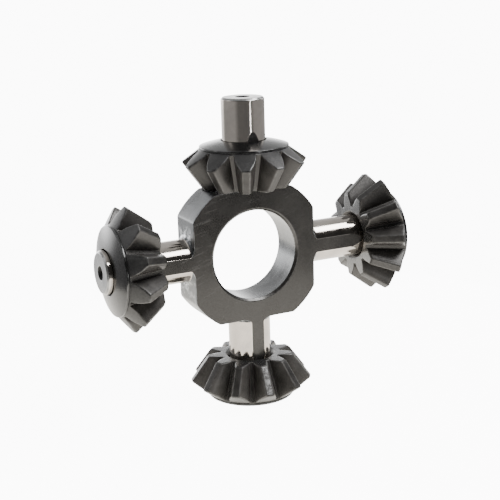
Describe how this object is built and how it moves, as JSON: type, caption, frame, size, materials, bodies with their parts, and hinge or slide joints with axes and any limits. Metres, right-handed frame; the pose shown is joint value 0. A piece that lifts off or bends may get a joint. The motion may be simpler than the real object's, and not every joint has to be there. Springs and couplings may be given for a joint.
{
  "type": "differential gear assembly",
  "caption": "Differential spider: a forged cross with a bored ring, and on each ground trunnion a straight bevel pinion backed by a spherical thrust washer.",
  "frame": {"origin": "centre of the cross, on the axis of the ring's bore and midway through its thickness", "axes": "+Z along the upright trunnion, X along the other two trunnions, +Y along the ring's bore towards its rear face"},
  "size_m": [0.212, 0.0818, 0.2028],
  "materials": {
    "cross": "oiled forging, ground trunnions",
    "pinion": "dark phosphate",
    "washer": "satin"
  },
  "bodies": {
    "cross": {"spider": "cross"},
    "top_washer": {"washer_top": "washer"},
    "top_pinion": {"pinion_top": "pinion"},
    "bottom_washer": {"washer_bottom": "washer"},
    "bottom_pinion": {"pinion_bottom": "pinion"},
    "left_washer": {"washer_left": "washer"},
    "left_pinion": {"pinion_left": "pinion"},
    "right_washer": {"washer_right": "washer"},
    "right_pinion": {"pinion_right": "pinion"}
  },
  "joints": [
    {"name": "top_slide", "type": "slide", "parent": "cross", "child": "top_washer", "axis": [0, 0, 1], "range_m": [0, 0.0365]},
    {"name": "top_spin", "type": "hinge", "parent": "top_washer", "child": "top_pinion", "pos_m": [0, 0, 0.06], "axis": [0, 0, 1], "continuous": true},
    {"name": "bottom_slide", "type": "slide", "parent": "cross", "child": "bottom_washer", "axis": [0, 0, -1], "range_m": [-0.0272, 0]},
    {"name": "bottom_spin", "type": "hinge", "parent": "bottom_washer", "child": "bottom_pinion", "pos_m": [0, 0, -0.085], "axis": [0, 0, -1], "continuous": true},
    {"name": "left_slide", "type": "slide", "parent": "cross", "child": "left_washer", "axis": [-1, 0, 0], "range_m": [-0.0235, 0.013]},
    {"name": "left_spin", "type": "hinge", "parent": "left_washer", "child": "left_pinion", "pos_m": [-0.08, 0, 0], "axis": [-1, 0, 0], "continuous": true},
    {"name": "right_slide", "type": "slide", "parent": "cross", "child": "right_washer", "axis": [1, 0, 0], "range_m": [-0.0365, 0]},
    {"name": "right_spin", "type": "hinge", "parent": "right_washer", "child": "right_pinion", "pos_m": [0.093, 0, 0], "axis": [1, 0, 0], "continuous": true}
  ]
}
